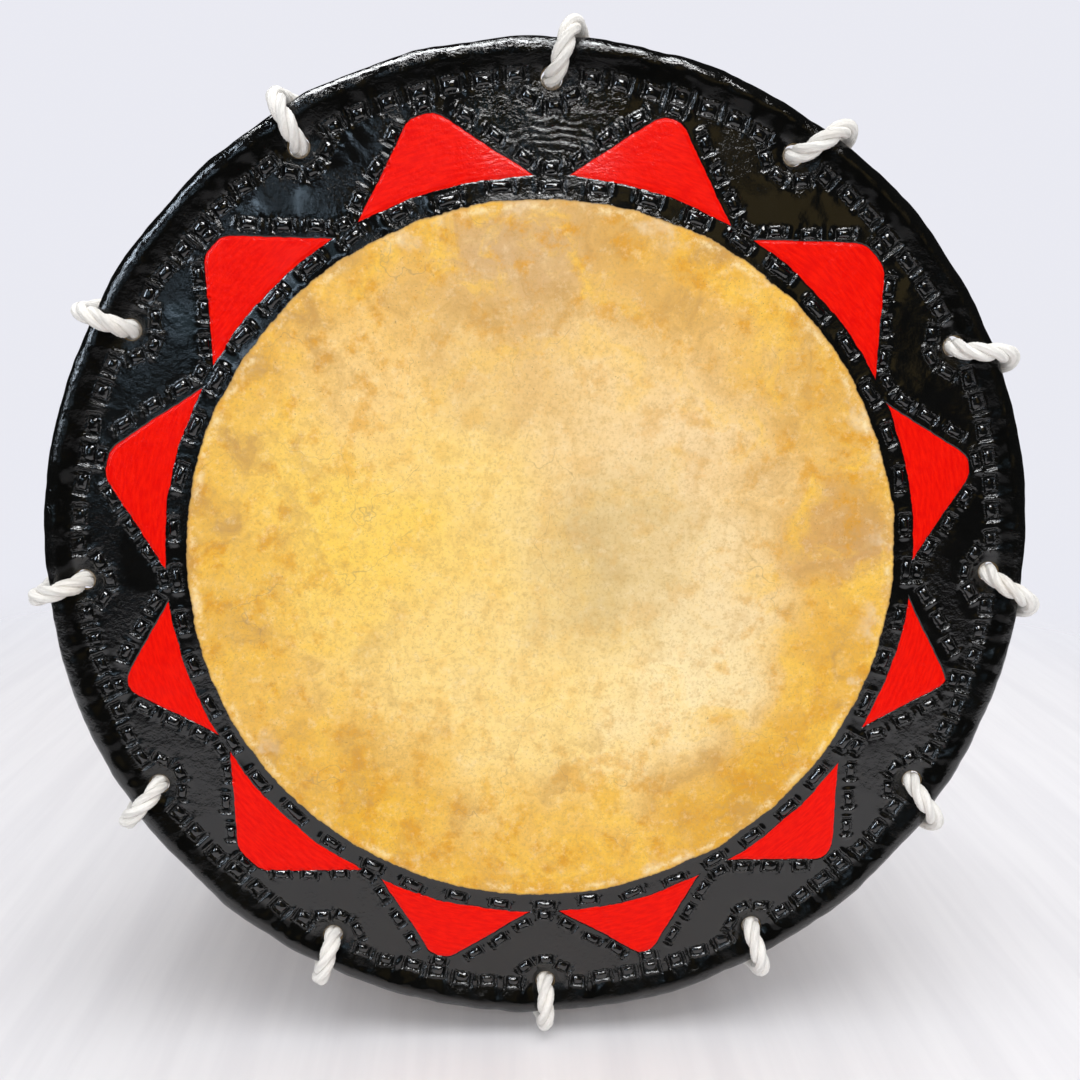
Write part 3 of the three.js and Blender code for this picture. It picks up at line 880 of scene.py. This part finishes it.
def make_lace(name, side, stitches, material, seed):
    """A row of stitches, with the stretches of lace that show between them behind the flange."""
    solid = Solid()
    random = np.random.default_rng(seed)
    for number, (spot, heading, length, width) in enumerate(stitches):
        pad, faces = stitch_solid(length, width)
        tilt = random.normal(size=2) * 0.05
        pad[:, 1] *= random.uniform(0.85, 1.15)
        pad[:, 1] += pad[:, 0] * tilt[0] + pad[:, 2] * tilt[1]
        pad[:, 1] += 0.14 * MM * ripple(pad + 0.05 * number, 3.2 * MM, seed + 11)
        front = laid(pad, spot, heading) - np.array([0, HALF_SPAN, 0])
        solid.add(to_world(head_to_drum(front, side)), faces, face=front)
        after = stitches[(number + 1) % len(stitches)][0]
        middle = (spot + after) / 2
        if np.linalg.norm(after - spot) > 20 * MM:
            continue
        way = math.atan2(after[2] - spot[2], after[0] - spot[0])
        lap = np.array([0, FLANGE - HALF_SPAN, 0])
        back = laid(pad * np.array([1, -1, 1]), middle, way) + lap
        solid.add(to_world(head_to_drum(back, side)), [f[::-1] for f in faces], face=back)
    return solid.build(name, material)


# ---- Rope ----
def rope_route():
    """The rope's centre line, as the CAD rope runs, closed through the middle of its knot."""
    first = TOP + STEP * KNOT_HOLE
    behind = RING_Y - FLANGE / 2 - FOLD_RADIUS
    points = []
    for i in range(2 * HOLES):
        side = -1 if i % 2 == 0 else 1
        hole = first - STEP / 2 * i
        lean = WRAP_LEAN + LEAN_CHANGE * math.cos(hole - math.radians(20)) * (side < 0)
        points.append(polar(hole, HOLE_PLACE, side * behind))
        points.append(polar(hole, HOLE_PLACE, side * (HALF_SPAN + 0.3 * MM)))
        for turn in np.linspace(0, WRAP_SWEEP, 15)[2:]:
            share = turn / WRAP_SWEEP
            radius = RING_RADIUS - WRAP_RADIUS * math.cos(turn)
            y = side * (RING_Y + WRAP_RADIUS * math.sin(turn))
            points.append(polar(hole - lean * share, radius, y))
    strand = points[-1] - points[0]
    strand /= np.linalg.norm(strand)
    knot_middle = points[0] + strand * KNOT_AWAY
    return follow_heads(np.array([knot_middle, *points, knot_middle])), strand


def follow_heads(points):
    """Moves a route with the heads where they are out of round, and not between them."""
    share = smooth_step(abs(points[:, 1]), 60 * MM, 100 * MM)[:, None]
    c, s = math.cos(STEP / 2), math.sin(STEP / 2)
    x, y, z = points[:, 0], points[:, 1], points[:, 2]
    as_front = np.stack([z * s - x * c, -y, x * s + z * c], axis=1)
    behind = y[:, None] > 0
    drawn = np.where(behind, as_front, points)
    moved = drawn + (out_of_round(drawn) - drawn) * share
    return np.where(behind, head_turned(moved, 1), moved)


def even_steps(points, step):
    """The same line with a point every step, its corners rounded."""
    gaps = np.linalg.norm(np.diff(points, axis=0), axis=1)
    along = np.concatenate([[0], np.cumsum(gaps)])
    count = max(int(along[-1] / step), 2)
    want = np.linspace(0, along[-1], count + 1)
    line = np.stack([np.interp(want, along, points[:, k]) for k in range(3)], axis=1)
    for _ in range(3):
        line[1:-1] = line[1:-1] * 0.5 + (line[:-2] + line[2:]) * 0.25
    return line


def carried_frames(line):
    """Two directions across the line at each of its points, which turn as little as they can."""
    tangents = np.gradient(line, axis=0)
    tangents /= np.linalg.norm(tangents, axis=1)[:, None]
    first = np.cross(tangents[0], [0.3, 0.5, 0.8])
    first /= np.linalg.norm(first)
    normals = [first]
    for tangent in tangents[1:]:
        moved = normals[-1] - tangent * np.dot(normals[-1], tangent)
        normals.append(moved / np.linalg.norm(moved))
    normals = np.array(normals)
    return normals, np.cross(tangents, normals)


def add_twisted_rope(solid, points, step=2 * MM):
    """Three strands twisted together along a line, right-handed."""
    line = even_steps(points, step)
    normals, sides = carried_frames(line)
    gaps = np.linalg.norm(np.diff(line, axis=0), axis=1)
    along = np.concatenate([[0], np.cumsum(gaps)])
    strand_radius = ROPE_RADIUS * 0.49
    offset = ROPE_RADIUS - strand_radius
    points_round = 10
    around = circle(points_round)
    for k in range(3):
        turn = along * 2 * math.pi / ROPE_PITCH + k * 2 * math.pi / 3
        out = normals * np.cos(turn)[:, None] + sides * np.sin(turn)[:, None]
        beside = sides * np.cos(turn)[:, None] - normals * np.sin(turn)[:, None]
        reach = offset + strand_radius * np.cos(around)
        swell = strand_radius * 1.14 * np.sin(around)
        tube = (
            line[:, None, :]
            + out[:, None, :] * reach[None, :, None]
            + beside[:, None, :] * swell[None, :, None]
        ).reshape(-1, 3)
        solid.add(
            to_world(tube), tube_faces(len(line), points_round),
            along=np.repeat(along, points_round), around=np.tile(around, len(line)),
        )


def knot_points(middle, strand):
    """Three turns of the rope's tail round the strand, with its end tucked out along it."""
    out = np.array([middle[0], 0, middle[2]])
    out -= strand * np.dot(out, strand)
    out /= np.linalg.norm(out)
    beside = np.cross(strand, out)
    turns, pitch = 3.0, 10 * MM
    coil = []
    for turn in np.linspace(0, turns * 2 * math.pi, 60):
        along = (turn / (2 * math.pi) - turns / 2) * pitch
        coil.append(middle + strand * along
                    + (out * math.cos(turn) + beside * math.sin(turn)) * ROPE_RADIUS * 2)
    tail_in = [coil[0] + beside * -(7 - t) * MM - strand * (7 - t) * MM * 2 for t in (0, 3)]
    tail_out = [coil[-1] + beside * t * MM + strand * t * MM * 1.2 for t in (6, 14, 22)]
    return np.array([*tail_in, *coil, *tail_out])


# ---- Shell ----
def make_stave(number, material):
    half = math.pi / STAVES - 0.12 * MM / SHELL_RADIUS
    inner = SHELL_RADIUS - STAVE_THICKNESS
    reach = HALF_SPAN + SKIN_RISE - HIDE - 0.3 * MM
    edge = 0.7 * MM
    turn = -2 * math.pi / STAVES * (number - 1)
    outer_arc = np.linspace(-half, half, 9)
    outline = [(SHELL_RADIUS - edge, -half), *[(SHELL_RADIUS, a) for a in outer_arc[1:-1] * 0.99],
               (SHELL_RADIUS - edge, half), *[(inner, a) for a in np.linspace(half, -half, 5)]]
    stations = [(-reach, edge), (-reach + edge, 0), (-reach / 2, 0), (0, 0), (reach / 2, 0),
                (reach - edge, 0), (reach, edge)]
    points = []
    for y, inset in stations:
        for radius, angle in outline:
            drawn = radius - inset if radius > inner + edge else radius + inset
            points.append(polar(angle + turn, drawn, y))
    points = np.array(points)
    faces = tube_faces(len(stations), len(outline))
    grain = points @ np.array([[math.cos(turn), 0, -math.sin(turn)], [0, 1, 0],
                               [math.sin(turn), 0, math.cos(turn)]])
    tone = np.full(len(points), number * 0.37)
    return make_object(f"shell_stave_{number:02d}", to_world(points), faces, material,
                       {"grain": grain, "tone": tone}, smooth=False)


def make_hoop(name, node, material):
    """A hoop of split bamboo: three flat strips plaited round the shell."""
    middle_y = sum(to_drum_y(corner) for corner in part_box(node)) / 2
    solid = Solid()
    steps, waves = 720, 44
    angle = circle(steps)
    corners = [(-1, -1), (0, -1.25), (1, -1), (1, 1), (0, 1.25), (-1, 1)]
    for k in range(3):
        phase = waves * angle + k * 2 * math.pi / 3
        y = middle_y + 4.2 * MM * np.sin(phase)
        radius = SHELL_RADIUS + 2.9 * MM + 1.3 * MM * np.sin(2 * phase)
        rings = []
        for wide, thick in corners:
            r, beside = radius + thick * 0.75 * MM, y + wide * 2.2 * MM
            rings.append(np.stack([r * np.cos(angle), beside, r * np.sin(angle)], axis=1))
        points = np.stack(rings, axis=1).reshape(-1, 3)
        faces = grid_faces(steps, len(corners), wrap_rows=True, wrap_columns=True)
        along = np.repeat(angle * SHELL_RADIUS, len(corners))
        lie = np.stack([np.tile([c[0] * 2 * MM for c in corners], steps), along,
                        np.tile([c[1] * MM for c in corners], steps)], axis=1)
        tone = np.full(len(points), 0.31 * k + middle_y)
        solid.add(to_world(points), faces, grain=lie, tone=tone)
    return solid.build(name, material)


def to_drum_y(point):
    away = Vector(point) - CENTRE
    return away.y * math.cos(LEAN) - away.z * math.sin(LEAN)


# ---- Stage ----
def make_camera():
    """Stands in front of the drum, a little above and left of its middle, looking down at it."""
    unit = HEAD_RADIUS

    def on_face(across, up, forward):
        spot = np.array([[across * unit, -HALF_SPAN - forward * unit, up * unit]])
        return Vector(to_world(spot)[0])

    eye = on_face(-0.106, 0.406, 1.995)
    aim = on_face(-0.012, 0.057, 0.0)
    forward = (aim - eye).normalized()
    upright = Vector(to_world(np.array([[0, 0, 1.0]]))[0]) - CENTRE
    right = forward.cross(upright).normalized()
    up = right.cross(forward)
    roll = Matrix.Rotation(CAMERA_ROLL, 3, -forward)
    right, up = roll @ right, roll @ up
    camera = bpy.data.objects.new("camera", bpy.data.cameras.new("camera"))
    turn = Matrix((right, up, -forward)).transposed().to_4x4()
    camera.matrix_world = Matrix.Translation(eye) @ turn
    camera.data.sensor_width = 36
    camera.data.lens = 36 * 1000 / 1080
    camera.data.clip_start = 0.01
    bpy.context.scene.collection.objects.link(camera)
    bpy.context.scene.camera = camera


def make_floor():
    """A pale floor that fades out round the drum."""
    n = Nodes("pale_floor")
    where = n.node("ShaderNodeTexCoord").outputs["Object"]
    x, y, _ = n.split(where)[:3]
    away = n.vmath("LENGTH", n.join(x, y, 0.0), out="Value")
    seen = n.ramp(away, 0.55, 1.15, 1.0, 0.0)
    grain = n.noise(n.join(x, n.times(y, 0.06), 0.0), 0.02, 4, 0.6)
    colour = n.mix(n.ramp(grain, 0.3, 0.7), rgb(0.77, 0.76, 0.79), rgb(0.83, 0.82, 0.845))
    n.finish(Base_Color=colour, Roughness=0.6)
    clear = n.node("ShaderNodeBsdfTransparent")
    blend = n.node("ShaderNodeMixShader")
    n.put(blend.inputs[0], seen)
    n.put(blend.inputs[1], clear.outputs[0])
    n.put(blend.inputs[2], n.shader.outputs[0])
    n.put(n.tree.nodes["Material Output"].inputs["Surface"], blend.outputs[0])
    mesh = bpy.data.meshes.new("floor")
    half = 1.3
    mesh.from_pydata([(-half, -half, 0), (half, -half, 0), (half, half, 0), (-half, half, 0)], [],
                     [(0, 1, 2, 3)])
    mesh.materials.append(n.material)
    floor = bpy.data.objects.new("floor", mesh)
    bpy.context.scene.collection.objects.link(floor)


def make_light(name, place_at, size, power, colour, mirrored):
    """A soft rectangle aimed at the drum. It is either only mirrored or only lights the drum."""
    light = bpy.data.lights.new(name, "AREA")
    light.shape = "RECTANGLE"
    light.size, light.size_y = size
    light.energy = power
    light.color = colour
    lamp = bpy.data.objects.new(name, light)
    lamp.location = place_at
    way = Vector((0, 0, HEAD_RADIUS)) - Vector(place_at)
    lamp.rotation_euler = way.to_track_quat("-Z", "Y").to_euler()
    lamp.visible_glossy = mirrored
    lamp.visible_diffuse = not mirrored
    bpy.context.scene.collection.objects.link(lamp)


def make_lights():
    lamps = [  # name, place, size, power, colour
        ("overhead", (0.1, -0.5, 1.95), (1.6, 1.2), 18, (1.0, 0.99, 0.98)),
        ("fill", (0.0, -2.0, 1.2), (1.6, 1.0), 12, (1.0, 1.0, 1.0)),
        ("back", (0.4, 1.5, 1.2), (1.2, 0.8), 8, (1.0, 1.0, 1.0)),
    ]
    cards = [
        ("ceiling_strip", (-0.3, -0.35, 1.95), (2.2, 0.4), 70, (0.96, 0.98, 1.0)),
        ("front_strip", (0.2, -1.6, 1.7), (0.9, 0.2), 13, (1.0, 0.99, 0.98)),
        ("window", (-1.6, -1.0, 1.2), (0.35, 1.2), 24, (0.74, 0.86, 1.0)),
        ("blue_strip", (-0.85, -2.2, 0.85), (0.9, 0.14), 1.5, (0.62, 0.8, 1.0)),
        ("blue_card", (-0.75, -2.2, 0.65), (0.7, 0.5), 0.6, (0.5, 0.8, 1.0)),
        ("brown_card", (0.55, -2.0, 0.8), (0.7, 0.7), 0.5, (1.0, 0.72, 0.25)),
    ]
    for lamp in lamps:
        make_light(*lamp, mirrored=False)
    for card in cards:
        make_light(*card, mirrored=True)


def make_world():
    """A pale backdrop to look at, a soft fill, and a dark room for the gloss to mirror."""
    world = bpy.data.worlds.new("studio")
    world.use_nodes = True
    bpy.context.scene.world = world
    tree = world.node_tree
    nodes, links = tree.nodes, tree.links
    nodes.clear()
    path = nodes.new("ShaderNodeLightPath")

    def background(colour, strength):
        node = nodes.new("ShaderNodeBackground")
        node.inputs[0].default_value = colour
        node.inputs[1].default_value = strength
        return node.outputs[0]

    def choose(factor, first, second):
        node = nodes.new("ShaderNodeMixShader")
        links.new(factor, node.inputs[0])
        links.new(first, node.inputs[1])
        links.new(second, node.inputs[2])
        return node.outputs[0]

    fill = background(rgb(0.97, 0.98, 1.0), 0.66)
    room = background(rgb(0.9, 0.95, 1.0), 0.02)
    backdrop = background(rgb(0.82, 0.825, 0.89), 1.0)
    lit = choose(path.outputs["Is Glossy Ray"], fill, room)
    shown = choose(path.outputs["Is Camera Ray"], lit, backdrop)
    output = nodes.new("ShaderNodeOutputWorld")
    links.new(shown, output.inputs[0])


# ---- Assembly ----
def make_heads():
    lace = lace_material()
    for name, side, seed in (("front", -1, 3), ("rear", 1, 40)):
        stitches = loosened(stitch_rows(), seed)
        material = hide_material(f"{name}_hide_finish", -side)
        hide = make_hide(f"{name}_head", side, stitches, material, seed)
        place(hide, "painted_hide", f"{name}_hide")
        for row, places in stitches.items():
            piece = make_lace(f"{name}_{row}_stitches", side, places, lace, seed)
            place(piece, "lacquered_lace", f"{name}_{row}")


def make_rope():
    cotton = rope_material()
    route, strand = rope_route()
    rope = Solid()
    add_twisted_rope(rope, route)
    place(rope.build("twisted_rope", cotton), "white_rope", "lacing_rope")
    knot = Solid()
    add_twisted_rope(knot, knot_points(route[0], strand), 1.5 * MM)
    place(knot.build("tied_knot", cotton), "white_rope", "rope_knot")


def make_shell():
    wood = wood_material(
        "cedar", rgb(0.60, 0.36, 0.16), rgb(0.42, 0.22, 0.08), rgb(0.22, 0.11, 0.04))
    bamboo = wood_material(
        "bamboo", rgb(0.62, 0.45, 0.20), rgb(0.45, 0.29, 0.10), rgb(0.28, 0.17, 0.06))
    for number in range(1, STAVES + 1):
        place(make_stave(number, wood), "shell_wood", f"stave_{number:02d}")
    for node in ("front_hoop", "middle_hoop", "rear_hoop"):
        place(make_hoop(f"plaited_{node}", node, bamboo), "hoop_bamboo", node)


def finish_rings():
    iron = iron_material()
    for name, side in (("front_ring", -1), ("rear_ring", 1)):
        steps, sides = 240, 14
        angle, turn = np.meshgrid(circle(steps), circle(sides), indexing="ij")
        radius = RING_RADIUS + IRON_RADIUS * np.cos(turn)
        y = -RING_Y + IRON_RADIUS * np.sin(turn)
        points = np.stack([radius * np.cos(angle), y, radius * np.sin(angle)], axis=2)
        points = points.reshape(-1, 3)
        faces = grid_faces(steps, sides, wrap_rows=True, wrap_columns=True)
        ring = make_object(f"iron_{name}", to_world(head_to_drum(points, side)), faces, iron,
                           {"face": points})
        place(ring, "ring_iron", name)


make_camera()
make_rope()
make_heads()
make_shell()
finish_rings()
make_floor()
make_lights()
make_world()
bpy.context.scene.view_settings.view_transform = "Standard"
